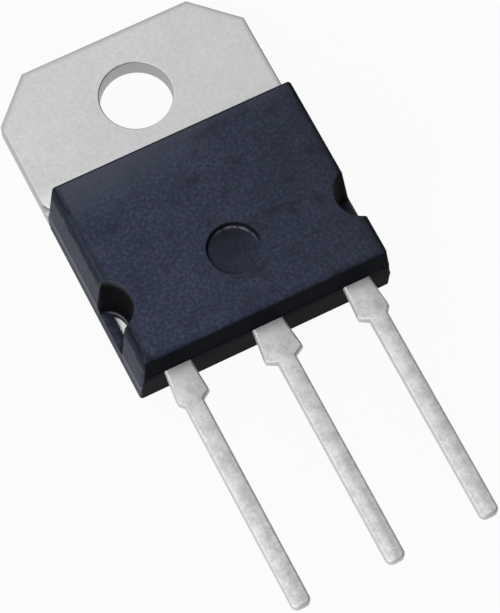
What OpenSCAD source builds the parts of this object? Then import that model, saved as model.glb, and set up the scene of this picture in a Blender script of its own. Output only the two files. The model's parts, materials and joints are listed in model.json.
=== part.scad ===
// Power transistor in a flat moulded package with three leads in line.
// The origin is the centre of the mounting hole on the metal back face: +Z leaves
// through the front of the moulding, +Y points to the free end of the tab and the
// leads run towards -Y. All sizes are millimetres.

/* [Tab] */
// Width across the metal tab
tab_w = 15; // [14.8:0.1:16]
// Thickness of the metal plate
tab_t = 1.27; // [1:0.01:1.5]
// Hole centre to the free end of the tab
tab_reach = 4.05; // [3.6:0.05:6]
// Side of the cut-off corners
tab_chamfer = 2.4; // [1.5:0.05:3]
// Diameter of the mounting hole
hole_d = 4.1; // [3:0.1:4.5]
// Depth of the step coined along the plate's front edges, which keys it into the moulding
coin_depth = 0.32; // [0.1:0.02:0.6]
// Width of the coined step, measured in from the side of the plate
coin_w = 0.5; // [0.2:0.05:0.6]
// Length of the slanted run-out of the coined step on the tab
coin_len = 0.85; // [0.3:0.05:1.2]

/* [Moulding] */
// From each side of the tab out to the widest line of the moulding
body_out = 0.08; // [0:0.02:0.3]
// Hole centre to the tab end of the moulding, where it meets the tab
body_start = 4.48; // [3.9:0.05:5]
// Hole centre to the lead end of the moulding, at the front of the leads
body_end = 16.12; // [15.7:0.02:17.5]
// Back face to front face
body_h = 4.82; // [4.2:0.02:5.4]
// Draft of the side walls in front of the plate's front face, degrees
side_draft = 6; // [2:0.2:8]
// Draft of the tab end wall, degrees
tab_end_draft = 2.4; // [1:0.2:7]
// Draft of the lead end wall in front of the leads, degrees
lead_end_draft = 3; // [2:0.2:10]
// Draft of the side walls beside the plate, degrees
back_side_draft = 1; // [0.2:0.1:5]
// Draft of the lead end wall behind the leads, degrees
back_end_draft = 3.4; // [0.2:0.2:6]
// Thickness of the plastic rim beside the metal plate
rim_w = 0.68; // [0.4:0.02:1.2]
// Plastic between the end of the metal plate and the lead end of the moulding
end_rim = 0.82; // [0.6:0.02:1.5]

/* [Clamp notches and ejector mark] */
// Radius of the side notches at the front face
notch_r = 1.55; // [1:0.05:1.8]
// Draft of the side notches, degrees
notch_draft = 5.4; // [2:0.1:9]
// Notch centre outside the widest line of the moulding
notch_out = 0.06; // [0:0.02:0.6]
// Hole centre to the notches and the ejector mark
notch_y = 12.2; // [11:0.02:12.6]
// Diameter of the ejector mark
mark_d = 3.1; // [2:0.1:4]
// Depth of the ejector mark
mark_depth = 0.12; // [0.04:0.02:0.2]
// Draft of the ejector mark, degrees
mark_draft = 20; // [5:5:45]

/* [Leads] */
// Distance between neighbouring leads
pitch = 5.48; // [5.2:0.05:5.7]
// Width of a lead past its shoulder
lead_w = 1.1; // [0.8:0.05:1.4]
// Thickness of the leads
lead_t = 0.55; // [0.4:0.05:0.8]
// Back face to the back of the leads
lead_z = 2.3; // [1.85:0.05:2.6]
// Hole centre to the tips of the leads
lead_reach = 31; // [24:0.5:38]
// Radius of the corners at a lead's tip
tip_r = 0.38; // [0.1:0.02:0.4]
// Hole centre to the end of the shoulders
shoulder_end = 18.4; // [17.6:0.05:19.5]
// Length of the slope from a shoulder to the lead
shoulder_slope = 0.3; // [0.1:0.05:0.6]
// Half width of the middle lead where it leaves the moulding
middle_exit = 0.88; // [0.7:0.02:1.2]
// Half width of the middle lead at its shoulder
middle_shoulder = 1.1; // [0.8:0.05:1.4]
// Outer leads, centre line to the inner edge where they leave the moulding
inner_exit = 0.92; // [0.7:0.02:1.1]
// Outer leads, centre line to the inner edge of the shoulder
inner_shoulder = 1.04; // [0.8:0.02:1.3]
// Outer leads, centre line to the outer edge where they leave the moulding
outer_exit = 0.62; // [0.6:0.02:0.8]
// Outer leads, centre line to the outer edge of the shoulder
outer_shoulder = 0.8; // [0.74:0.02:1]

/* [Bond posts] */
// Hole centre to the inner edge of the bond posts
post_edge = 14; // [13.9:0.05:14.6]
// Bond post, lead centre line to its inner side
post_in = 2.2; // [1.4:0.1:2.6]
// Bond post, lead centre line to its outer side
post_out = 1.1; // [0.8:0.05:1.2]
// Straight lead between the bond post and the outside of the moulding
post_neck = 0.7; // [0.5:0.05:1]
// Diameter of the hole that keys a bond post into the moulding
key_d = 0.8; // [0.4:0.05:1]
// Metal between the key hole and the outer side of the bond post
key_wall = 0.2; // [0.1:0.05:0.3]

/* [Collector joint] */
// Width of the foot that joins the middle lead to the plate
foot_w = 3.9; // [3.4:0.1:4.4]
// Hole centre to the inner edge of the foot
foot_edge = 13.1; // [12.8:0.05:13.5]
// Length of the down-set slope of the middle lead
set_len = 0.55; // [0.4:0.05:0.6]
// Diameter of the two studs that rise from the plate through the foot
stud_d = 0.9; // [0.5:0.05:1]
// Distance between the studs
stud_gap = 2; // [1.7:0.1:2.2]
// Diameter of a stud's headed end
head_d = 1.4; // [1.2:0.05:1.5]
// Height of a stud's headed end
head_h = 0.25; // [0.1:0.05:0.4]

/* [Die and wires] */
// Side of the square silicon die
die_w = 4.8; // [3:0.1:5.4]
// Thickness of the die
die_t = 0.3; // [0.15:0.05:0.4]
// Hole centre to the centre of the die
die_y = 9.3; // [8.8:0.1:9.6]
// Thickness of the solder under the die
solder_t = 0.06; // [0.03:0.01:0.12]
// Solder showing round the die
solder_rim = 0.15; // [0.05:0.05:0.3]
// Diameter of the base bond wire
base_wire_d = 0.25; // [0.15:0.01:0.3]
// Diameter of the emitter bond wires
emitter_wire_d = 0.38; // [0.2:0.01:0.5]
// Distance between the two emitter bonds
emitter_gap = 1; // [0.9:0.05:1.1]
// Rise of the bond wires above the line between their ends
loop_rise = 1.6; // [1.2:0.05:1.7]
// Hole centre to the tab end of the moisture groove in the plate
groove_y = 5.5; // [5.2:0.05:5.8]
// Width of the moisture groove
groove_w = 0.5; // [0.2:0.05:0.6]
// Depth of the moisture groove
groove_depth = 0.25; // [0.1:0.05:0.3]

/* [Hidden] */

nickel = "#c8c8cb";
tin = "#c4c3c0";
solder_grey = "#9d9fa3";
silicon = "#59606e";
aluminium = "#d9dadc";
epoxy = "#2f333d";

round_fn = 64;
small_fn = 32;
spill = 0.5;                                // how far a cutter runs past what it cuts

// The mould parts along the plate's front face, and climbs to the front of the leads at their end
body_w = tab_w + 2 * body_out;
parting_z = lead_z + lead_t;
plate_in_w = body_w - 2 * rim_w;            // width of the plate inside the moulding
plate_end = body_end - end_rim;
notch_x = body_w / 2 + notch_out;
ledge_z = tab_t - coin_depth;               // front of the coined step
notch_floor_r = notch_r - (body_h - ledge_z) * tan(notch_draft);
mark_floor_r = mark_d / 2 - mark_depth * tan(mark_draft);
foot_z = tab_t + lead_t;                    // front of the foot, which lies on the plate
set_angle = atan2(lead_z - tab_t, set_len);
set_mitre = lead_t * tan(set_angle / 2);
post_end = body_end - post_neck;
stud_y = (foot_edge + plate_end) / 2;
solder_z = tab_t + solder_t;
die_z = solder_z + die_t;
post_bond_y = (post_edge + post_end) / 2;
die_edge_y = die_y + die_w / 2;

// Where each wire meets the die and its bond post, as [x, y, z]
base_ends = [[-die_w / 2 + 0.8, -die_edge_y + 0.6, die_z],
    [-pitch + post_in / 2, -post_bond_y, parting_z]];
emitter_mid = [[die_w / 2 - 1.3, -die_edge_y + 1.3, die_z],
    [pitch - post_in / 2, -post_bond_y, parting_z]];

function side_step(ends, shift) = [for (p = ends) p + [shift, 0, 0]];

// Outline of the moulding seen from its lead end, and from its side
function front_outline() = let (
    back = body_w / 2 - tab_t * tan(back_side_draft),
    front = body_w / 2 - (body_h - tab_t) * tan(side_draft))
    [[-back, 0], [-body_w / 2, tab_t], [-front, body_h],
     [front, body_h], [body_w / 2, tab_t], [back, 0]];

function side_outline() = [
    [-body_start, 0], [-body_start, tab_t],
    [-body_start - (body_h - tab_t) * tan(tab_end_draft), body_h],
    [-body_end + (body_h - parting_z) * tan(lead_end_draft), body_h],
    [-body_end, parting_z], [-body_end + parting_z * tan(back_end_draft), 0]];

// Stands a (y, z) outline up and gives it a width along X
module upright(width) {
    rotate([90, 0, 90]) translate([0, 0, -width / 2]) linear_extrude(width) children();
}

// Flat shape of a lead from its moulding exit to its tip, centred on x = 0
module lead_shape(left_exit, left_shoulder, right_exit, right_shoulder) {
    half = lead_w / 2;
    polygon([[-left_exit, -body_end], [-left_shoulder, -shoulder_end + 2 * shoulder_slope],
        [-left_shoulder, -shoulder_end + shoulder_slope], [-half, -shoulder_end],
        [half, -shoulder_end], [right_shoulder, -shoulder_end + shoulder_slope],
        [right_shoulder, -shoulder_end + 2 * shoulder_slope], [right_exit, -body_end]]);
    translate([-half, -lead_reach + tip_r]) square([lead_w, lead_reach - tip_r - shoulder_end]);
    translate([-half + tip_r, -lead_reach]) square([lead_w - 2 * tip_r, tip_r]);
    for (side = [-1, 1]) translate([side * (half - tip_r), -lead_reach + tip_r])
        circle(tip_r, $fn = small_fn);
}

// Outer lead on the side x > 0, with the bond post that the moulding holds
module outer_lead() {
    translate([0, 0, lead_z]) linear_extrude(lead_t) difference() {
        union() {
            translate([pitch, 0]) lead_shape(inner_exit, inner_shoulder, outer_exit, outer_shoulder);
            translate([pitch - inner_exit, -body_end])
                square([inner_exit + outer_exit, post_neck]);
            translate([pitch - post_in, -post_end]) square([post_in + post_out, post_end - post_edge]);
        }
        translate([pitch + post_out - key_wall - key_d / 2, -post_bond_y])
            circle(d = key_d, $fn = small_fn);
    }
}

// Wire between two pads: an arc in an upright plane with a flattened foot at each end
module bond_wire(ends, d) {
    foot = [3 * d, 1.5 * d, 0.6 * d];
    end_lift = 0.4 * d;                     // the wire's end lies inside its foot
    run = ends[1] - ends[0];
    level = norm([run.x, run.y]);
    heading = atan2(run.y, run.x);
    chord = norm(run);
    radius = (chord * chord / 4 + loop_rise * loop_rise) / (2 * loop_rise);
    half_angle = asin(chord / 2 / radius);
    for (p = ends) translate(p) rotate([0, 0, heading])
        translate([-foot.x / 2, -foot.y / 2, 0]) cube(foot);
    translate(ends[0] + [0, 0, end_lift]) rotate([90, 0, heading])
        rotate([0, 0, atan2(run.z, level)]) translate([chord / 2, loop_rise - radius, 0])
            rotate_extrude(angle = 2 * half_angle, start = 90 - half_angle, $fn = round_fn)
                translate([radius, 0]) circle(d = d, $fn = small_fn);
}

// Metal plate: the tab outside the moulding and the die's seat inside it
module heat_spreader() color(nickel) {
    difference() {
        linear_extrude(tab_t) difference() {
            polygon([[-tab_w / 2, -body_start], [-tab_w / 2, tab_reach - tab_chamfer],
                [-tab_w / 2 + tab_chamfer, tab_reach], [tab_w / 2 - tab_chamfer, tab_reach],
                [tab_w / 2, tab_reach - tab_chamfer], [tab_w / 2, -body_start],
                [plate_in_w / 2, -body_start], [plate_in_w / 2, -plate_end],
                [-plate_in_w / 2, -plate_end], [-plate_in_w / 2, -body_start]]);
            circle(d = hole_d, $fn = round_fn);
        }
        for (side = [0, 1]) mirror([side, 0, 0]) coined_step();
        moisture_groove();
    }
    for (side = [-1, 1]) translate([side * stud_gap / 2, -stud_y, tab_t]) {
        cylinder(d = stud_d, h = lead_t, $fn = small_fn);
        translate([0, 0, lead_t]) cylinder(d = head_d, h = head_h, $fn = small_fn);
    }
}

// Step pressed into one front edge of the plate, with a slanted run-out on the tab
module coined_step() {
    far = tab_w / 2 + spill;
    translate([0, 0, ledge_z]) linear_extrude(coin_depth + spill)
        polygon([[tab_w / 2, -body_start + coin_len], [tab_w / 2 - coin_w, -body_start],
            [plate_in_w / 2 - coin_w, -body_start], [plate_in_w / 2 - coin_w, -plate_end - spill],
            [far, -plate_end - spill], [far, -body_start + coin_len]]);
}

// V groove across the plate that keeps moisture from the die
module moisture_groove() {
    upright(plate_in_w + spill) polygon([[-groove_y, tab_t + spill], [-groove_y, tab_t],
        [-groove_y - groove_w / 2, tab_t - groove_depth], [-groove_y - groove_w, tab_t],
        [-groove_y - groove_w, tab_t + spill]]);
}

// Middle lead, bent down inside the moulding to a foot that the studs rivet to the plate
module collector_lead() color(tin) difference() {
    intersection() {
        upright(foot_w) polygon([[-lead_reach, lead_z], [-plate_end - set_len, lead_z],
            [-plate_end, tab_t], [-foot_edge, tab_t], [-foot_edge, foot_z],
            [-plate_end + set_mitre, foot_z], [-plate_end - set_len + set_mitre, parting_z],
            [-lead_reach, parting_z]]);
        linear_extrude(body_h) {
            lead_shape(middle_exit, middle_shoulder, middle_exit, middle_shoulder);
            translate([-middle_exit, -body_end]) square([2 * middle_exit, body_end - foot_edge]);
            translate([-foot_w / 2, -plate_end]) square([foot_w, plate_end - foot_edge]);
        }
    }
    for (side = [-1, 1]) translate([side * stud_gap / 2, -stud_y, tab_t - spill])
        cylinder(d = stud_d, h = lead_t + 2 * spill, $fn = small_fn);
}

module base_lead() color(tin) mirror([1, 0, 0]) outer_lead();

module emitter_lead() color(tin) outer_lead();

module die_attach_solder() color(solder_grey) {
    side = die_w + 2 * solder_rim;
    translate([-side / 2, -die_y - side / 2, tab_t]) cube([side, side, solder_t]);
}

module silicon_die() color(silicon) {
    translate([-die_w / 2, -die_y - die_w / 2, solder_z]) cube([die_w, die_w, die_t]);
}

module base_bond_wire() color(aluminium) bond_wire(base_ends, base_wire_d);

module emitter_bond_wire_1() color(aluminium)
    bond_wire(side_step(emitter_mid, -emitter_gap / 2), emitter_wire_d);

module emitter_bond_wire_2() color(aluminium)
    bond_wire(side_step(emitter_mid, emitter_gap / 2), emitter_wire_d);

// Half-round notch where the mould clamps the plate: down to its coined step, beside which the
// plastic rim stays as high as the plate's front face
module clamp_notch() {
    lift = body_h + spill - ledge_z;
    difference() {
        translate([notch_x, -notch_y, ledge_z])
            cylinder(h = lift, r1 = notch_floor_r, r2 = notch_floor_r + lift * tan(notch_draft), $fn = round_fn);
        translate([plate_in_w / 2, -notch_y - notch_r, 0]) cube([rim_w + notch_r, 2 * notch_r, tab_t]);
    }
}

// Shallow round recess that the ejector pin leaves in the front face
module ejector_mark() {
    lift = mark_depth + spill;
    translate([0, -notch_y, body_h - mark_depth])
        cylinder(h = lift, r1 = mark_floor_r, r2 = mark_floor_r + lift * tan(mark_draft), $fn = round_fn);
}

// Epoxy moulding with a cavity of the exact shape of everything that it holds
module moulded_body() color(epoxy) difference() {
    intersection() {
        translate([0, -body_start, 0]) rotate([90, 0, 0])
            linear_extrude(body_end - body_start) polygon(front_outline());
        upright(body_w) polygon(side_outline());
    }
    for (side = [0, 1]) mirror([side, 0, 0]) clamp_notch();
    ejector_mark();
    heat_spreader();
    collector_lead();
    base_lead();
    emitter_lead();
    die_attach_solder();
    silicon_die();
    base_bond_wire();
    emitter_bond_wire_1();
    emitter_bond_wire_2();
}

heat_spreader();
collector_lead();
base_lead();
emitter_lead();
die_attach_solder();
silicon_die();
base_bond_wire();
emitter_bond_wire_1();
emitter_bond_wire_2();
moulded_body();
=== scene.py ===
import json
import math

import bmesh
import bpy
from mathutils import Matrix, Vector

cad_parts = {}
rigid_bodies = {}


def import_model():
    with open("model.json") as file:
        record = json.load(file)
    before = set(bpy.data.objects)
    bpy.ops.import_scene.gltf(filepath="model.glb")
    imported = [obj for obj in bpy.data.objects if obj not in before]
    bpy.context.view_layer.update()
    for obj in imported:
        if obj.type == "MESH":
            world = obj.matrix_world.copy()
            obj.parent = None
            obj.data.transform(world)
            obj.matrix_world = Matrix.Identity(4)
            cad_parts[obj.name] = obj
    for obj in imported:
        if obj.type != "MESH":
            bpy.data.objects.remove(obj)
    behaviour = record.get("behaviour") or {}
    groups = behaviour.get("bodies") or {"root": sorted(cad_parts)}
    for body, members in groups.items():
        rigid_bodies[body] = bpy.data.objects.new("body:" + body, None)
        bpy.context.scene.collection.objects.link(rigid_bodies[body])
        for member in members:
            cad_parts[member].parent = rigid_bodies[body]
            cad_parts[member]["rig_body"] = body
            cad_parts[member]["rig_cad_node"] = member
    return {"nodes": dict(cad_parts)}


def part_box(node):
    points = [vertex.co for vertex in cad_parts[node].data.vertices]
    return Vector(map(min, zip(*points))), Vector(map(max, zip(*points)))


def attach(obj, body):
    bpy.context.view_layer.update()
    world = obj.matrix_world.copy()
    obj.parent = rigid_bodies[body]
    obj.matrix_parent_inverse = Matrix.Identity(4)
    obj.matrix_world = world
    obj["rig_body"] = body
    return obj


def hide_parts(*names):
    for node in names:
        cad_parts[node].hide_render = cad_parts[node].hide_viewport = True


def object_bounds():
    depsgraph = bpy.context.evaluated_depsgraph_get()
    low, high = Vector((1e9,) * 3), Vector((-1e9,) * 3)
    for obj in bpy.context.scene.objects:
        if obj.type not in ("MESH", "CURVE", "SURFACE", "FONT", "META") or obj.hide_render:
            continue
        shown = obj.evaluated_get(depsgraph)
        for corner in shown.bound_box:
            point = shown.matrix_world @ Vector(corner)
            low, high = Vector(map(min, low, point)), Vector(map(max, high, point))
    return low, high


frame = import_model()
cadLow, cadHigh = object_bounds()
nodes = frame["nodes"]
print("frame loaded:", len(nodes), "solids")

mm = 0.001
near = 0.002 * mm       # how close two places count as the same
weld = near / 4         # how close two points are merged
sharpTurn = 25          # degrees between two faces, past which their edge is rounded
flatTurn = 0.5          # degrees between two faces, below which they are one

caseLow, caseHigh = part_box("moulded_body")
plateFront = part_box("die_attach_solder")[0].z       # the chip is soldered to the plate's front face


# Selecting and shaping

def makeActive(piece):
    if bpy.context.mode != "OBJECT":
        bpy.ops.object.mode_set(mode="OBJECT")
    bpy.ops.object.select_all(action="DESELECT")
    piece.select_set(True)
    bpy.context.view_layer.objects.active = piece


def startEdit(piece, part="FACE"):
    makeActive(piece)
    bpy.ops.object.mode_set(mode="EDIT")
    bpy.ops.mesh.select_mode(type=part)
    bpy.ops.mesh.select_all(action="DESELECT")


def endEdit():
    bpy.ops.object.mode_set(mode="OBJECT")


def pick(piece, part, wanted):      # part is "verts", "edges" or "faces"
    bpy.ops.mesh.select_all(action="DESELECT")
    mesh = bmesh.from_edit_mesh(piece.data)
    mesh.normal_update()
    for item in getattr(mesh, part):
        if wanted(item):
            item.select_set(True)
    mesh.select_flush_mode()
    bmesh.update_edit_mesh(piece.data)


def middle(edge):
    return (edge.verts[0].co + edge.verts[1].co) / 2


def isSharp(edge):
    return len(edge.link_faces) == 2 and edge.calc_face_angle(0) > math.radians(sharpTurn)


def isLevel(edge):
    return abs(edge.verts[0].co.z - edge.verts[1].co.z) < near


def applyModifier(piece, kind, **settings):
    makeActive(piece)
    modifier = piece.modifiers.new(kind.title(), kind)
    for key, value in settings.items():
        setattr(modifier, key, value)
    bpy.ops.object.modifier_apply(modifier=modifier.name)


def cutAway(piece, cutter):
    applyModifier(piece, "BOOLEAN", operation="DIFFERENCE", solver="EXACT", object=cutter)
    bpy.data.objects.remove(cutter)


def copySolid(nodeName, pieceName):     # a merged copy with its flat faces whole again
    piece = nodes[nodeName].copy()
    piece.data = nodes[nodeName].data.copy()
    piece.name = piece.data.name = pieceName
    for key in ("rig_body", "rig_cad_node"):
        del piece[key]
    piece.parent = None
    piece.hide_render = piece.hide_viewport = False
    piece.data.materials.clear()
    bpy.context.scene.collection.objects.link(piece)
    startEdit(piece, "VERT")
    bpy.ops.mesh.select_all(action="SELECT")
    bpy.ops.mesh.remove_doubles(threshold=weld)
    bpy.ops.mesh.dissolve_limited(angle_limit=math.radians(flatTurn))
    endEdit()
    return piece


def finishPiece(piece, paint, smooth, nodeName):      # smooth in degrees
    piece.data.materials.clear()
    piece.data.materials.append(paint)
    makeActive(piece)
    bpy.ops.object.shade_smooth_by_angle(angle=math.radians(smooth))
    applyModifier(piece, "WEIGHTED_NORMAL", keep_sharp=True, weight=80)
    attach(piece, "root")
    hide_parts(nodeName)
    print(f"{piece.name}: {len(piece.data.polygons)} faces")


# Shader maths: a socket that adds its Math node when it meets an operator

class Socket:
    def __init__(self, paint, link):
        self.paint, self.link = paint, link

    def __add__(self, other):
        return self.paint.maths("ADD", self, other)

    def __mul__(self, other):
        return self.paint.maths("MULTIPLY", self, other)

    def __sub__(self, other):
        return self.paint.maths("SUBTRACT", self, other)

    def __rsub__(self, other):
        return self.paint.maths("SUBTRACT", other, self)

    def __abs__(self):
        return self.paint.maths("ABSOLUTE", self)

    __radd__, __rmul__ = __add__, __mul__


class Paint:            # the nodes of one material or world
    def __init__(self, owner):
        owner.use_nodes = True
        self.owner, self.tree = owner, owner.node_tree
        self.tree.nodes.clear()

    def node(self, kind, settings=None, sockets=None, out=0):
        made = self.tree.nodes.new(kind)
        for key, value in (settings or {}).items():
            setattr(made, key, value)
        for key, value in (sockets or {}).items():
            if isinstance(value, Socket):
                self.tree.links.new(value.link, made.inputs[key])
            else:
                made.inputs[key].default_value = value
        return Socket(self, made.outputs[out]) if len(made.outputs) else None

    def maths(self, operation, *values):
        return self.node("ShaderNodeMath", {"operation": operation}, dict(enumerate(values)))

    def distance(self, across, along):
        return self.maths("SQRT", across * across + along * along)

    def point(self):                    # where on the piece, in metres
        return self.node("ShaderNodeTexCoord", out="Object")

    def place(self, axis):              # its X, Y or Z
        return self.node("ShaderNodeSeparateXYZ", None, {0: self.point()}, axis)

    def facing(self, axis):             # how far the surface looks along X, Y or Z
        normal = self.node("ShaderNodeNewGeometry", out="Normal")
        return self.node("ShaderNodeSeparateXYZ", None, {0: normal}, axis)

    def noise(self, grain, detail, rough=0.5):      # grain is a size in metres
        sockets = {"Vector": self.point(), "Scale": 1 / grain, "Detail": detail, "Roughness": rough}
        return self.node("ShaderNodeTexNoise", None, sockets, "Fac")

    def band(self, value, low, high):   # 0 at low, 1 at high, smooth between
        return self.node("ShaderNodeMapRange", {"interpolation_type": "SMOOTHSTEP"},
                         {"Value": value, "From Min": low, "From Max": high})

    def under(self, value, low, high):  # 1 at low, 0 at high
        return 1 - self.band(value, low, high)

    def line(self, value, centre, half, soft):      # 1 on a line, 0 beside it
        rise = self.band(value, centre - half - soft, centre - half)
        return rise * self.under(value, centre + half, centre + half + soft)

    def blend(self, mask, first, second):
        return self.node("ShaderNodeMix", {"data_type": "RGBA"}, {0: mask, 6: first, 7: second}, 2)

    def bump(self, height, relief, strength):       # relief in metres
        return self.node("ShaderNodeBump", None, {"Height": height, "Distance": relief, "Strength": strength})

    def finish(self, sockets):
        shader = self.node("ShaderNodeBsdfPrincipled", None, sockets)
        self.node("ShaderNodeOutputMaterial", None, {"Surface": shader})
        return self.owner


def newPaint(name):
    return Paint(bpy.data.materials.new(name))


def rgb(red, green, blue):
    return (red, green, blue, 1.0)


def grey(value):
    return rgb(value, value, value)


# Metal plate, matt nickel over copper

plate = {
    "light": rgb(0.65, 0.65, 0.66),
    "dark": rgb(0.54, 0.54, 0.545),
    "bright": rgb(0.74, 0.74, 0.76),        # strip that the mould rubbed next to the case, its left part
    "dull": rgb(0.40, 0.40, 0.41),          # painted shade on its right part, on the rounded edges and on the band inside them
    "step": rgb(0.95, 0.95, 0.95),          # coined step in the notches, painted near white: painted light, so that it shows lit
    "cut": rgb(0.41, 0.41, 0.42),           # sheared sides
    "bore": rgb(0.38, 0.38, 0.39),
    "rough": 0.40,
    "grain": 0.22 * mm,
    "cloud": 2.5 * mm,
    "relief": 0.008 * mm,
    "stripWide": 0.8 * mm,
    "stripFade": 1.0 * mm,
    "stripTurn": (-4 * mm, 5 * mm),         # where across the plate the strip goes from bright to painted shade
    "boreReach": (2.2 * mm, 2.4 * mm),      # how far from the hole's middle a side still is the bore
    "stepDepth": (0.15 * mm, 0.25 * mm),    # under the front face, where a surface becomes the step
    "rollover": 0.09 * mm,                  # rounding of the stamped front edges
    "shadedBandWide": 0.36 * mm,                 # painted shade: band inside it along the tab's end, cut corners and right side, away from the light
    "smooth": 32,                           # degrees, past which an edge stays sharp
}


def insideOutline(paint, across, along):    # distance from the tab's end, its cut corners and its right side
    corners = [v.co for v in nodes["heat_spreader"].data.vertices]
    fromEnd = max(p.y for p in corners) - along
    fromCut = (max(p.x + p.y for p in corners) - abs(across) - along) * math.sqrt(0.5)
    fromSide = max(p.x for p in corners) - across
    return paint.maths("MINIMUM", fromEnd, paint.maths("MINIMUM", fromCut, fromSide))


def paintNickel():
    paint = newPaint("nickelPlate")
    across, along, height = [paint.place(axis) for axis in "XYZ"]
    up = paint.facing("Z")
    grain = paint.noise(plate["grain"], 2, 0.6)
    cloud = paint.noise(plate["cloud"], 2)
    tone = (grain - 0.5) * 0.55 + (cloud - 0.5) * 0.35
    face = paint.blend(paint.band(tone, -0.25, 0.25), plate["dark"], plate["light"])

    stripEnd = caseHigh.y + plate["stripWide"]
    strip = paint.under(along, stripEnd, stripEnd + plate["stripFade"])
    right = paint.band(across, *plate["stripTurn"])
    face = paint.blend(0.8 * strip * (1 - right), face, plate["bright"])
    # painted shade: the strip's right part, next to the case
    face = paint.blend(0.5 * strip * right, face, plate["dull"])
    # painted shade: a band inside the tab's end, cut corners and right side, the sides away from the light
    shadedBand = paint.under(insideOutline(paint, across, along), 0, plate["shadedBandWide"])
    face = paint.blend(shadedBand * (0.7 + 0.5 * cloud), face, plate["dull"])

    beyondBore = paint.band(paint.distance(across, along), *plate["boreReach"])
    side = paint.blend(beyondBore, plate["bore"], plate["cut"])
    # painted shade: the rounded front edges are darkened
    side = paint.blend(paint.band(up, 0.1, 0.3), side, plate["dull"])
    front = paint.band(up, 0.80, 0.995)
    colour = paint.blend(front, side, face)

    # painted light: the coined step in the notches is painted near white
    stepTop, stepEnd = plate["stepDepth"]
    step = front * paint.under(height, plateFront - stepEnd, plateFront - stepTop)
    step = step * paint.under(along, caseHigh.y - 1 * mm, caseHigh.y)
    colour = paint.blend(step, colour, plate["step"])
    return paint.finish({"Base Color": colour, "Metallic": 1.0, "Roughness": plate["rough"] + 0.1 * cloud,
                         "Normal": paint.bump(grain, plate["relief"], 0.5)})


def makePlate():
    piece = copySolid("heat_spreader", "plate")
    tabFront = max(v.co.z for v in piece.data.vertices if v.co.y > 0)
    startEdit(piece, "EDGE")
    pick(piece, "edges", lambda e: isSharp(e) and middle(e).y > caseHigh.y + near
         and all(abs(v.co.z - tabFront) < near for v in e.verts))
    bpy.ops.mesh.bevel(offset=plate["rollover"], segments=3, profile=0.5)
    endEdit()
    finishPiece(piece, paintNickel(), plate["smooth"], "heat_spreader")


# Leads, tinned by dipping

lead = {
    "light": rgb(0.70, 0.70, 0.70),
    "dark": rgb(0.52, 0.52, 0.525),
    "cut": rgb(0.56, 0.56, 0.565),
    "root": rgb(0.97, 0.97, 0.97),      # painted highlight: near white next to the case
    "rootLong": 1.5 * mm,
    "rough": 0.40,
    "patch": 0.7 * mm,
    "fleck": 0.17 * mm,
    "relief": 0.03 * mm,
    "rounding": 0.14 * mm,              # tin pulls the stamped edges round
    "crown": 0.10 * mm,                 # and swells along the middle
    "smooth": 50,
}


def paintTin():
    paint = newPaint("dippedTin")
    patch = paint.noise(lead["patch"], 3, 0.6)
    fleck = paint.noise(lead["fleck"], 2)
    tone = paint.band(patch * 0.6 + fleck * 0.4, 0.36, 0.64)
    face = paint.blend(tone, lead["dark"], lead["light"])
    # painted highlight: the leads turn near white next to the case
    root = paint.band(paint.place("Y"), caseLow.y - lead["rootLong"], caseLow.y)
    face = paint.blend(root * 0.85, face, lead["root"])
    sides = paint.blend(paint.band(paint.facing("X"), 0.1, 0.5), lead["cut"], lead["light"])
    front = paint.band(paint.facing("Z"), 0.65, 0.97)
    colour = paint.blend(front, sides, face)
    rough = lead["rough"] + 0.15 * fleck + 0.25 * (1 - front)
    return paint.finish({"Base Color": colour, "Metallic": 1.0, "Roughness": rough,
                         "Normal": paint.bump(patch * 0.7 + fleck * 0.3, lead["relief"], 0.5)})


def makeLead(nodeName, pieceName, paint):
    piece = copySolid(nodeName, pieceName)
    low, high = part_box(nodeName)
    tip = [v.co.x for v in piece.data.vertices if v.co.y < low.y + near]
    centre = (min(tip) + max(tip)) / 2
    startEdit(piece, "EDGE")
    bpy.ops.mesh.select_all(action="SELECT")
    bpy.ops.mesh.bisect(plane_co=(0, caseLow.y, 0), plane_no=(0, 1, 0), threshold=weld)
    pick(piece, "edges", lambda e: isSharp(e) and isLevel(e) and middle(e).y < caseLow.y - near)
    bpy.ops.mesh.bevel(offset=lead["rounding"], segments=3, profile=0.5)
    pick(piece, "faces", lambda f: f.calc_center_median().y < caseLow.y)
    bpy.ops.mesh.bisect(plane_co=(centre, 0, 0), plane_no=(1, 0, 0), threshold=weld)
    pick(piece, "verts", lambda v: v.co.y < caseLow.y - near and abs(v.co.z - high.z) < near
         and abs(v.co.x - centre) < near)
    bpy.ops.transform.translate(value=(0, 0, lead["crown"]))
    endEdit()
    finishPiece(piece, paint, lead["smooth"], nodeName)


# Moulded case, black filled epoxy

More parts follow.
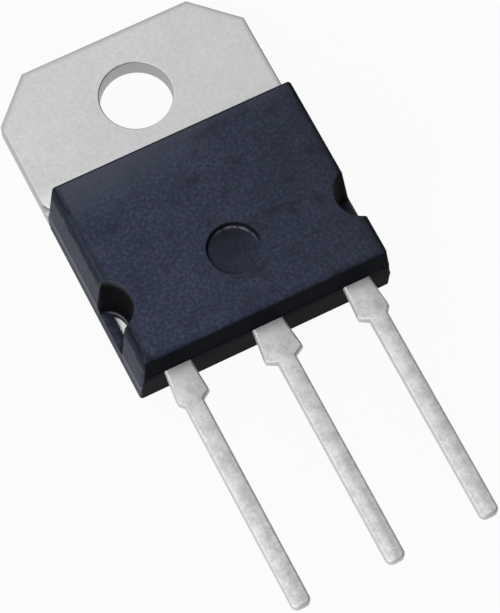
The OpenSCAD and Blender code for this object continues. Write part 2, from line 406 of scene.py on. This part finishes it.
case = {
    "blue": rgb(0.0155, 0.0240, 0.0445),    # eroded front face, between two casts
    "purple": rgb(0.0205, 0.0225, 0.0460),
    "speck": rgb(0.044, 0.051, 0.086),      # filler that shows at the surface
    "hazeAndLight": rgb(0.052, 0.060, 0.082),       # film that the mould leaves towards the tab, with painted light, paler on the left
    "shadeAndSmooth": rgb(0.010, 0.011, 0.016),     # smooth along the edges; painted shade to the right of the front face and at the foot
    "wallDark": rgb(0.028, 0.032, 0.045),
    "wallLight": rgb(0.050, 0.056, 0.071),
    "wallTop": rgb(0.013, 0.017, 0.028),
    "ridge": rgb(0.108, 0.115, 0.130),      # worn and painted highlight along the parting line
    "end": rgb(0.004, 0.0045, 0.0065),      # smooth end walls above the leads, painted near black as painted shade, as they face away from the light
    # painted shade too, paler below the leads
    "endLow": rgb(0.013, 0.013, 0.015),
    "deep": rgb(0.003, 0.003, 0.004),       # painted shade: notches, the tab end's rim, the ejector mark's rim and the foot of the end walls
    "mark": rgb(0.0095, 0.0110, 0.0215),
    # painted shade under the mark's rim, towards the tab
    "markShade": rgb(0.0045, 0.0050, 0.0110),
    "rimHighlight": rgb(0.085, 0.085, 0.098),      # painted highlight on the rim that the ejector pin polished
    "rough": 0.62,
    "specular": 0.02,
    "frontSheen": 0.2,                      # coat weights
    "sideSheen": 0.09,
    "sheenRough": 0.38,
    "grain": 0.2 * mm,
    "patch": 0.6 * mm,
    "mottle": 1.2 * mm,
    "cloud": 3 * mm,
    "relief": 0.02 * mm,
    "shadeAcross": (-6 * mm, 7 * mm),      # painted shade: the front face gets darker from left to right
    "shadeSide": (5.9 * mm, 7.1 * mm),     # and once more at its right side
    "edgeLineX": 6.98 * mm,                 # smooth line along both sides
    "edgeUneven": 0.5 * mm,
    "hazeAcross": (-5 * mm, 4 * mm),        # the haze and its painted light fade from left to right
    "hazeLong": 3.4 * mm,                   # and away from the tab
    "hazeEdge": 0.8 * mm,                   # a thinner one follows the whole tab end
    "tabEdge": (0.3 * mm, 0.22 * mm),       # where the painted shade on the tab end's rim begins and is full
    "frontDeep": (1 * mm, 0.5 * mm),        # what belongs to the front, from its level down
    "topDeep": (1.15 * mm, 0.65 * mm),      # dark upper part of the walls
    "topUneven": 1.2 * mm,
    "foot": (0.05 * mm, 0.45 * mm),
    "wornAbove": 0.2 * mm,                  # pale line on the walls, worn and painted highlight, over the plate's front face
    "leadsAbove": (1.1 * mm, 0.4 * mm),     # the end wall's lower part, from the leads' front faces down
    "stripLineX": 7.53 * mm,                # pale strip beside the plate, in the notches, a painted highlight on the rim's edge
    "corner": 0.16 * mm,                    # roundings of the mould
    "sideRim": 0.25 * mm,
    "tabRim": 0.08 * mm,
    "leadRim": 0.35 * mm,                   # the widest, to which the others are weighed
    "notchX": 7.64 * mm,
    "notchY": -12.2 * mm,
    "notchRadius": 1.55 * mm,               # at the front
    "notchDraft": 5.4,                      # degrees
    "notchRim": 0.07 * mm,
    "notchFloor": 0.9 * mm,                 # in the plate, just under its coined step
    "rimX": 6.9 * mm,                       # where the plastic beside the plate begins
    "markRadius": 1.5 * mm,
    "markDepth": 0.12 * mm,
    "markSlope": 0.1 * mm,                  # width of its sloping side
    "markRim": 0.08 * mm,
    "mouthSteps": 4,
    "flashHigh": 0.09 * mm,                 # ridge of resin along the parting lines
    "flashOut": 0.04 * mm,
    "cutterSides": 96,
    "smooth": 32,
}


class Epoxy(Paint):     # holds the places and patterns that the case's faces share
    def __init__(self):
        super().__init__(bpy.data.materials.new("filledEpoxy"))
        self.x, self.y, self.z = [self.place(axis) for axis in "XYZ"]
        self.out = abs(self.x)
        self.away = self.y - case["notchY"]
        self.fromMark = self.distance(self.x, self.away)
        self.fromNotch = self.distance(self.out - case["notchX"], self.away)
        self.grain = self.noise(case["grain"], 3, 0.65)
        self.patch = self.noise(case["patch"], 2)
        self.mottle = self.noise(case["mottle"], 1)
        self.cloud = self.noise(case["cloud"], 2)
        self.foot = self.under(self.z, *case["foot"])
        unevenZ = self.z + (self.patch - 0.5) * case["topUneven"]
        self.top = self.band(unevenZ, *[caseHigh.z - deep for deep in case["topDeep"]])
        self.frontPart = self.band(self.z, *[caseHigh.z - deep for deep in case["frontDeep"]])


def frontColour(epoxy):     # eroded; painted shade darkens it to the right and on the tab end's rim; hazy, with painted light, towards the tab; smooth along its edges
    x, y, patch = epoxy.x, epoxy.y, epoxy.patch
    rimStart, rimFull = [caseHigh.y - wide for wide in case["tabEdge"]]
    front = epoxy.blend(epoxy.band(patch, 0.42, 0.58), case["blue"], case["purple"])
    front = epoxy.blend(epoxy.band(epoxy.grain * 0.8 + epoxy.cloud * 0.2, 0.40, 0.67), front, case["speck"])
    # painted shade: darker from left to right and once more at the right side, with random darker patches
    shadeAndSmooth = 0.36 * epoxy.band(x, *case["shadeAcross"]) + 0.2 * epoxy.band(x, *case["shadeSide"])
    shadeAndSmooth = shadeAndSmooth + 0.5 * epoxy.band(epoxy.mottle, 0.5, 0.8)
    front = epoxy.blend(shadeAndSmooth, front, case["shadeAndSmooth"])
    # painted light with the haze: paler towards the tab and on the left
    hazeAndLight = epoxy.band(y, caseHigh.y - case["hazeLong"], rimStart) * epoxy.under(x, *case["hazeAcross"])
    front = epoxy.blend(hazeAndLight * (0.35 + 0.7 * epoxy.cloud), front, case["hazeAndLight"])
    thinHaze = 0.3 * epoxy.band(y, caseHigh.y - case["hazeEdge"], rimStart)
    front = epoxy.blend(thinHaze, front, case["hazeAndLight"])
    # painted shade on the rounded rim at the tab end
    front = epoxy.blend(0.85 * epoxy.band(y, rimStart, rimFull), front, case["deep"])
    unevenOut = epoxy.out + (epoxy.mottle - 0.5) * case["edgeUneven"]
    edge = epoxy.line(unevenOut, case["edgeLineX"], 0.06 * mm, 0.25 * mm) * (0.35 + 0.9 * (patch - 0.2))
    front = epoxy.blend(edge, front, case["shadeAndSmooth"])
    # painted highlight on the plastic's edge beside the plate
    strip = epoxy.line(epoxy.out, case["stripLineX"], 0.01 * mm, 0.05 * mm)
    strip = strip * epoxy.under(epoxy.z, plateFront + 0.05 * mm, plateFront + 0.1 * mm)
    return epoxy.blend(strip, front, case["ridge"])


def wallColour(epoxy):      # mottled, darker at the top, painted shade at the foot, worn pale with a painted highlight along the parting line
    grain, patch = epoxy.grain, epoxy.patch
    tone = epoxy.band(grain * 0.7 + patch * 0.3, 0.38, 0.62)
    wall = epoxy.blend(tone, case["wallDark"], case["wallLight"])
    wall = epoxy.blend(0.3 * epoxy.band(epoxy.mottle, 0.45, 0.75), wall, case["wallTop"])
    wall = epoxy.blend(epoxy.top, wall, case["wallTop"])
    # worn and painted highlight along the parting line
    wornHighlight = epoxy.line(epoxy.z, plateFront + case["wornAbove"], 0.08 * mm, 0.28 * mm)
    wall = epoxy.blend(wornHighlight * (0.45 + patch * 0.6 + grain * 0.4), wall, case["ridge"])
    # painted shade at the foot of the walls
    return epoxy.blend(epoxy.foot * 0.6, wall, case["shadeAndSmooth"])


def shadedEndColour(epoxy):       # smooth, painted near black as shade where the walls face away from the light, paler under the leads, painted shade at the foot
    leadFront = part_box("collector_lead")[1].z
    lower = epoxy.under(epoxy.z, *[leadFront - deep for deep in case["leadsAbove"]])
    end = epoxy.blend(lower * (0.4 + 1.2 * epoxy.grain), case["end"], case["endLow"])
    return epoxy.blend(epoxy.foot * 0.8, end, case["deep"])


def markColour(epoxy):      # painted shade: darker towards the tab, under the rim
    tabward = epoxy.band(0.3 * epoxy.x + 0.95 * epoxy.away, 0.1 * mm, 1.3 * mm)
    mark = epoxy.blend(tabward, case["mark"], case["markShade"])
    cast = epoxy.band(epoxy.patch * 0.6 + epoxy.grain * 0.4, 0.42, 0.6)
    return epoxy.blend(0.35 * cast, mark, case["purple"])


def markMasks(epoxy):       # the ejector mark's floor, its rim in painted shade and the polished rim inside that, with a painted highlight
    x, away, radius = epoxy.x, epoxy.away, case["markRadius"]
    floor = epoxy.under(epoxy.fromMark, radius - 0.06 * mm, radius + 0.02 * mm)
    floor = floor * (1 - 0.75 * epoxy.band(0.35 * x - 0.9 * away, -0.4 * mm, 1.5 * mm))
    # painted shade: a dark ring on the rim, on the side towards the tab
    shadedRim = epoxy.line(epoxy.fromMark, radius - 0.04 * mm, 0.05 * mm, 0.06 * mm)
    shadedRim = shadedRim * epoxy.band(0.14 * x + 0.99 * away, -0.35 * mm, 0.5 * mm)
    # painted highlight: a bright ring inside the rim, towards the tab, broken by noise
    polishAndHighlight = epoxy.line(epoxy.fromMark, radius - 0.2 * mm, 0.03 * mm, 0.07 * mm)
    polishAndHighlight = polishAndHighlight * epoxy.band(0.62 * x + 0.78 * away, 0.45 * mm, 1.3 * mm)
    polishAndHighlight = polishAndHighlight * epoxy.band(epoxy.patch + epoxy.grain, 0.8, 1.15)
    return [mask * epoxy.frontPart for mask in (floor, shadedRim, polishAndHighlight)]


def paintEpoxy():
    epoxy = Epoxy()
    markEdge, notchEdge = case["markRadius"], case["notchRadius"]
    sideways = epoxy.band(abs(epoxy.facing("X")), 0.35, 0.6)
    leadward = epoxy.band(0 - epoxy.facing("Y"), 0.0, 0.3)
    forward = epoxy.band(epoxy.facing("Z"), 0.9 - 0.8 * leadward, 0.995 - 0.195 * leadward)
    onMark = epoxy.under(epoxy.fromMark, markEdge + 0.06 * mm, markEdge + 0.1 * mm) * epoxy.frontPart
    forward = epoxy.maths("MAXIMUM", forward, onMark)
    colour = epoxy.blend(sideways, shadedEndColour(epoxy), wallColour(epoxy))
    colour = epoxy.blend(forward, colour, frontColour(epoxy))

    inNotch = epoxy.under(epoxy.fromNotch, notchEdge - 0.03 * mm, notchEdge + 0.02 * mm)
    inNotch = inNotch * epoxy.band(epoxy.z, plateFront + 0.05 * mm, plateFront + 0.3 * mm)
    # painted shade: the notches' walls are painted near black
    colour = epoxy.blend(inNotch, colour, case["deep"])
    inMark, shadedRim, polishAndHighlight = markMasks(epoxy)
    colour = epoxy.blend(inMark, colour, markColour(epoxy))
    # painted shade on the mark's rim
    colour = epoxy.blend(shadedRim * 0.85, colour, case["deep"])
    # painted highlight on the polished rim
    colour = epoxy.blend(polishAndHighlight, colour, case["rimHighlight"])

    notchRim = epoxy.line(epoxy.fromNotch, notchEdge + 0.02 * mm, 0.03 * mm, 0.05 * mm)
    notchRim = notchRim * epoxy.under(epoxy.x, -1 * mm, 1 * mm) * epoxy.frontPart
    polish = epoxy.maths("MAXIMUM", polishAndHighlight, 0.35 * notchRim)
    sheen = case["frontSheen"] * forward + case["sideSheen"] * sideways * (1 - forward)
    sheen = sheen * (1 - inNotch) * (1 - 0.9 * epoxy.top * (1 - forward)) * (1 - 0.9 * shadedRim)
    height = (epoxy.grain * 0.7 + epoxy.patch * 0.3) * (1 - 0.8 * inMark)
    return epoxy.finish({"Base Color": colour, "Roughness": case["rough"] + 0.15 * epoxy.grain,
                         "Specular IOR Level": case["specular"], "Coat Roughness": case["sheenRough"],
                         "Coat Weight": epoxy.maths("MAXIMUM", sheen, polish),
                         "Normal": epoxy.bump(height, case["relief"], 0.6)})


def partingLevel(axis, furthest):       # height at which the case reaches furthest along X (0) or Y (1)
    points = [v.co for v in nodes["moulded_body"].data.vertices]
    return furthest(points, key=lambda p: p[axis]).z


def caseSections():     # the solid's rectangle at each level where its walls or the parting ridges turn
    points = [v.co for v in nodes["moulded_body"].data.vertices]
    sideZ, endZ = partingLevel(0, max), partingLevel(1, min)

    def wallPlaces(turnZ, axis, furthest):      # a wall's (level, place) at the back, its turn and the front
        return [(level, furthest(p[axis] for p in points if abs(p.z - level) < near))
                for level in (caseLow.z, turnZ, caseHigh.z)]

    def placeAt(level, places):
        for (z0, place0), (z1, place1) in zip(places, places[1:]):
            if level <= z1 + near:
                return place0 + (place1 - place0) * (level - z0) / (z1 - z0)

    halfWidths = wallPlaces(sideZ, 0, max)
    tabEnds = wallPlaces(sideZ, 1, max)
    leadEnds = wallPlaces(endZ, 1, min)
    step = case["flashHigh"] / 2
    sections = []
    for level in (caseLow.z, sideZ - step, sideZ, sideZ + step, endZ - step, endZ, endZ + step, caseHigh.z):
        wide = placeAt(level, halfWidths) - case["flashOut"] * (level != sideZ)
        leadEnd = placeAt(level, leadEnds) + case["flashOut"] * (level != endZ)
        tabEnd = placeAt(level, tabEnds)
        sections.append((Vector((-wide, leadEnd, level)), Vector((wide, tabEnd, level))))
    return sections


def fitSection(piece, low, high):       # moves the corners at one level to a rectangle
    pick(piece, "verts", lambda v: abs(v.co.z - low.z) < near)
    mesh = bmesh.from_edit_mesh(piece.data)
    here = [v.co for v in mesh.verts if v.select]
    nowLow = Vector((min(p.x for p in here), min(p.y for p in here), low.z))
    nowHigh = Vector((max(p.x for p in here), max(p.y for p in here), low.z))
    centre, size, wanted = (nowLow + nowHigh) / 2, nowHigh - nowLow, high - low
    bpy.ops.transform.resize(value=(wanted.x / size.x, wanted.y / size.y, 1), center_override=centre)
    bpy.ops.transform.translate(value=(low + high) / 2 - centre)


def weighEdges(piece, width, wanted):
    pick(piece, "edges", wanted)
    bpy.ops.transform.edge_bevelweight(value=width / case["leadRim"])


def makeBlock():        # the drafted block with its parting ridges and rounded rims
    sections = caseSections()
    low, high = sections[0][0], sections[-1][1]
    bpy.ops.object.select_all(action="DESELECT")
    bpy.ops.mesh.primitive_cube_add(size=1, location=(low + high) / 2, scale=high - low)
    piece = bpy.context.object
    piece.name = piece.data.name = "case"
    bpy.ops.object.transform_apply(location=True, rotation=True, scale=True)
    startEdit(piece, "VERT")
    for section in sections[1:-1]:
        bpy.ops.mesh.select_all(action="SELECT")
        bpy.ops.mesh.bisect(plane_co=section[0], plane_no=(0, 0, 1), threshold=weld)
    for section in sections:
        fitSection(piece, *section)

    bpy.ops.mesh.select_mode(type="EDGE")
    centreY = (sections[-1][0].y + sections[-1][1].y) / 2

    def frontEnd(edge):     # -1 at the front's lead end, 0 at its sides, 1 at its tab end, else none
        if min(v.co.z for v in edge.verts) < high.z - near:
            return None
        along = middle(edge).y - centreY
        return 0 if abs(along) < near else math.copysign(1, along)

    weighEdges(piece, case["corner"], lambda e: not isLevel(e))
    for end, rim in ((0, "sideRim"), (1, "tabRim"), (-1, "leadRim")):
        weighEdges(piece, case[rim], lambda e: frontEnd(e) == end)
    endEdit()
    applyModifier(piece, "BEVEL", width=case["leadRim"], segments=5, limit_method="WEIGHT",
                  use_clamp_overlap=False)
    return piece


def addCutter(place, profile):      # a round cutter from its (radius, height) steps, lowest first
    bpy.ops.object.select_all(action="DESELECT")
    bpy.ops.mesh.primitive_circle_add(vertices=case["cutterSides"], radius=profile[0][0], fill_type="NGON",
                                      location=(place[0], place[1], profile[0][1]))
    cutter = bpy.context.object
    bpy.ops.object.transform_apply(location=True, rotation=True, scale=True)
    startEdit(cutter)
    bpy.ops.mesh.select_all(action="SELECT")
    for (fromRadius, fromZ), (radius, z) in zip(profile, profile[1:]):
        bpy.ops.mesh.extrude_region_move(TRANSFORM_OT_translate={"value": (0, 0, z - fromZ)})
        factor = radius / fromRadius
        bpy.ops.transform.resize(value=(factor, factor, 1), center_override=(place[0], place[1], z))
    bpy.ops.mesh.select_all(action="SELECT")
    bpy.ops.mesh.normals_make_consistent(inside=False)
    endEdit()
    return cutter


def mouth(radius, size, lean=0):        # steps that round a recess over into the front and go on above it
    turns = [lean + (math.pi / 2 - lean) * k / case["mouthSteps"] for k in range(case["mouthSteps"] + 1)]
    steps = [(radius + size * (math.cos(lean) - math.cos(turn)), caseHigh.z - size * (1 - math.sin(turn)))
             for turn in turns]
    return steps + [(steps[-1][0] + size, caseHigh.z + size)]


def cutNotch(piece, side):      # side is -1 or 1; the plastic beside the plate stays
    slope = math.tan(math.radians(case["notchDraft"]))
    floorRadius = case["notchRadius"] - (caseHigh.z - case["notchFloor"]) * slope
    rim = mouth(case["notchRadius"] - case["notchRim"] * slope, case["notchRim"])
    cutter = addCutter((side * case["notchX"], case["notchY"]), [(floorRadius, case["notchFloor"])] + rim)
    wide, high = 2 * case["notchRadius"], partingLevel(0, max)
    bpy.ops.object.select_all(action="DESELECT")
    bpy.ops.mesh.primitive_cube_add(size=1, scale=(wide, 2 * wide, high),
                                    location=(side * (case["rimX"] + wide / 2), case["notchY"], high / 2))
    cutAway(cutter, bpy.context.object)
    cutAway(piece, cutter)


def cutMark(piece):     # the shallow round mark of the ejector pin
    lean = math.atan2(case["markSlope"], case["markDepth"])
    floor = (case["markRadius"] - case["markSlope"], caseHigh.z - case["markDepth"])
    rim = mouth(case["markRadius"] - case["markRim"] / 4, case["markRim"], lean)
    cutAway(piece, addCutter((0, case["notchY"]), [floor] + rim))


def makeCase():
    piece = makeBlock()
    for side in (-1, 1):
        cutNotch(piece, side)
    cutMark(piece)
    for name in nodes:
        if name != "moulded_body":
            cutAway(piece, copySolid(name, "cutter"))
    finishPiece(piece, paintEpoxy(), case["smooth"], "moulded_body")


makePlate()
tin = paintTin()
for nodeName, pieceName in (("base_lead", "leadBase"), ("collector_lead", "leadCollector"),
                            ("emitter_lead", "leadEmitter")):
    makeLead(nodeName, pieceName, tin)
makeCase()


# Sealed pieces: the solids stay, with their own finishes

solder = {
    "name": "softSolder",
    "solids": ["die_attach_solder"],
    "light": rgb(0.42, 0.43, 0.45),
    "dark": rgb(0.30, 0.31, 0.33),
    "grain": 0.3 * mm,
    "rough": 0.40,
    "metal": 1.0,
}

silicon = {
    "name": "silicon",
    "solids": ["silicon_die"],
    "light": rgb(0.16, 0.18, 0.22),
    "dark": rgb(0.12, 0.13, 0.17),
    "grain": 0.8 * mm,
    "rough": 0.15,
    "metal": 0.0,
}

wire = {
    "name": "drawnAluminium",
    "solids": ["base_bond_wire", "emitter_bond_wire_1", "emitter_bond_wire_2"],
    "light": rgb(0.78, 0.78, 0.79),
    "dark": rgb(0.66, 0.66, 0.67),
    "grain": 0.05 * mm,
    "rough": 0.25,
    "metal": 1.0,
}


def paintSealed(finish):
    paint = newPaint(finish["name"])
    value = paint.noise(finish["grain"], 3)
    colour = paint.blend(paint.band(value, 0.35, 0.65), finish["dark"], finish["light"])
    return paint.finish({"Base Color": colour, "Metallic": finish["metal"],
                         "Roughness": finish["rough"] + 0.15 * value,
                         "Normal": paint.bump(value, finish["grain"] / 10, 0.4)})


for finish in (solder, silicon, wire):
    paint = paintSealed(finish)
    for name in finish["solids"]:
        nodes[name].data.materials.clear()
        nodes[name].data.materials.append(paint)
    print(finish["name"], "on", len(finish["solids"]), "sealed solids")


# Studio: floor, soft lamp, sky and the photograph's camera

studio = {
    "floorWide": 4.0,
    "floorGrey": grey(0.5),
    "floorLift": 0.94,                  # share of the floor that shows plain white to the camera
    "skyLight": grey(1.40),
    "skyDark": grey(0.08),
    "skyFrom": (-0.75, 0.35, 0.56),     # where the sky is brightest
    "lampPlace": (-0.334, -0.260, 0.170),
    "lampAim": Vector((0, -13.5, 2)) * mm,
    "lampSize": 0.16,
    "lampPower": 0.8,
}

camera = {
    "azimuth": -25.72,
    "elevation": 66.78,
    "roll": -1.07,
    "far": 182.22 * mm,
    "target": Vector((-0.24, -13.665, 0)) * mm,
    "focalPixels": 3362.0,
    "centrePixels": (243.33, 308.48),
    "frame": (500, 613),
    "sensor": 36,
}


def paintFloor():
    paint = newPaint("floor")
    seen, glossy, through = [paint.node("ShaderNodeLightPath", out=kind) for kind in
                             ("Is Camera Ray", "Is Glossy Ray", "Is Transmission Ray")]
    seen = paint.maths("MAXIMUM", paint.maths("MAXIMUM", seen, glossy), through)
    dull = paint.node("ShaderNodeBsdfDiffuse", None, {"Color": studio["floorGrey"]})
    white = paint.node("ShaderNodeEmission", None, {"Color": grey(1), "Strength": 1.0})
    both = paint.node("ShaderNodeMixShader", None, {0: seen * studio["floorLift"], 1: dull, 2: white})
    paint.node("ShaderNodeOutputMaterial", None, {"Surface": both})
    return paint.owner


def addFloor():
    bpy.ops.object.select_all(action="DESELECT")
    bpy.ops.mesh.primitive_plane_add(size=studio["floorWide"], location=(0, 0, cadLow.z))
    floor = bpy.context.object
    floor.name = "floor"
    floor.data.materials.append(paintFloor())


def addLamp():
    bpy.ops.object.select_all(action="DESELECT")
    bpy.ops.object.light_add(type="AREA", location=studio["lampPlace"])
    lamp = bpy.context.object
    lamp.name = "key"
    lamp.data.shape = "SQUARE"
    lamp.data.size = studio["lampSize"]
    lamp.data.energy = studio["lampPower"]
    aim = studio["lampAim"] - lamp.location
    lamp.rotation_euler = aim.to_track_quat("-Z", "Y").to_euler()


def addSky():
    sky = Paint(bpy.data.worlds.new("sky"))
    direction = sky.node("ShaderNodeTexCoord", out="Generated")
    lit = sky.node("ShaderNodeVectorMath", {"operation": "DOT_PRODUCT"},
                   {0: direction, 1: studio["skyFrom"]}, "Value")
    glow = sky.blend(sky.band(lit, -0.5, 1.0), studio["skyDark"], studio["skyLight"])
    shown = sky.node("ShaderNodeBackground", None, {"Color": glow, "Strength": 1.0})
    sky.node("ShaderNodeOutputWorld", None, {"Surface": shown})
    bpy.context.scene.world = sky.owner


def addCamera():
    azimuth, elevation = math.radians(camera["azimuth"]), math.radians(camera["elevation"])
    back = Vector((math.sin(azimuth) * math.cos(elevation), -math.cos(azimuth) * math.cos(elevation),
                   math.sin(elevation)))
    right = (-back).cross(Vector((0, 0, 1))).normalized()
    up = right.cross(-back)
    turn = math.radians(camera["roll"])
    across = right * math.cos(turn) + up * math.sin(turn)
    upright = up * math.cos(turn) - right * math.sin(turn)
    bpy.ops.object.camera_add()
    shot = bpy.context.object
    place = Matrix.Translation(camera["target"] + back * camera["far"])
    shot.matrix_world = place @ Matrix((across, upright, back)).transposed().to_4x4()
    wide, high = camera["frame"]
    shot.data.sensor_width = camera["sensor"]
    shot.data.lens = camera["focalPixels"] * camera["sensor"] / high
    shot.data.shift_x = (wide / 2 - camera["centrePixels"][0]) / high
    shot.data.shift_y = (camera["centrePixels"][1] - high / 2) / high
    shot.data.clip_start = 0.01
    shot.data.clip_end = 10
    bpy.context.scene.camera = shot


addFloor()
addLamp()
addSky()
addCamera()
bpy.context.scene.view_settings.view_transform = "Standard"
print("studio ready")
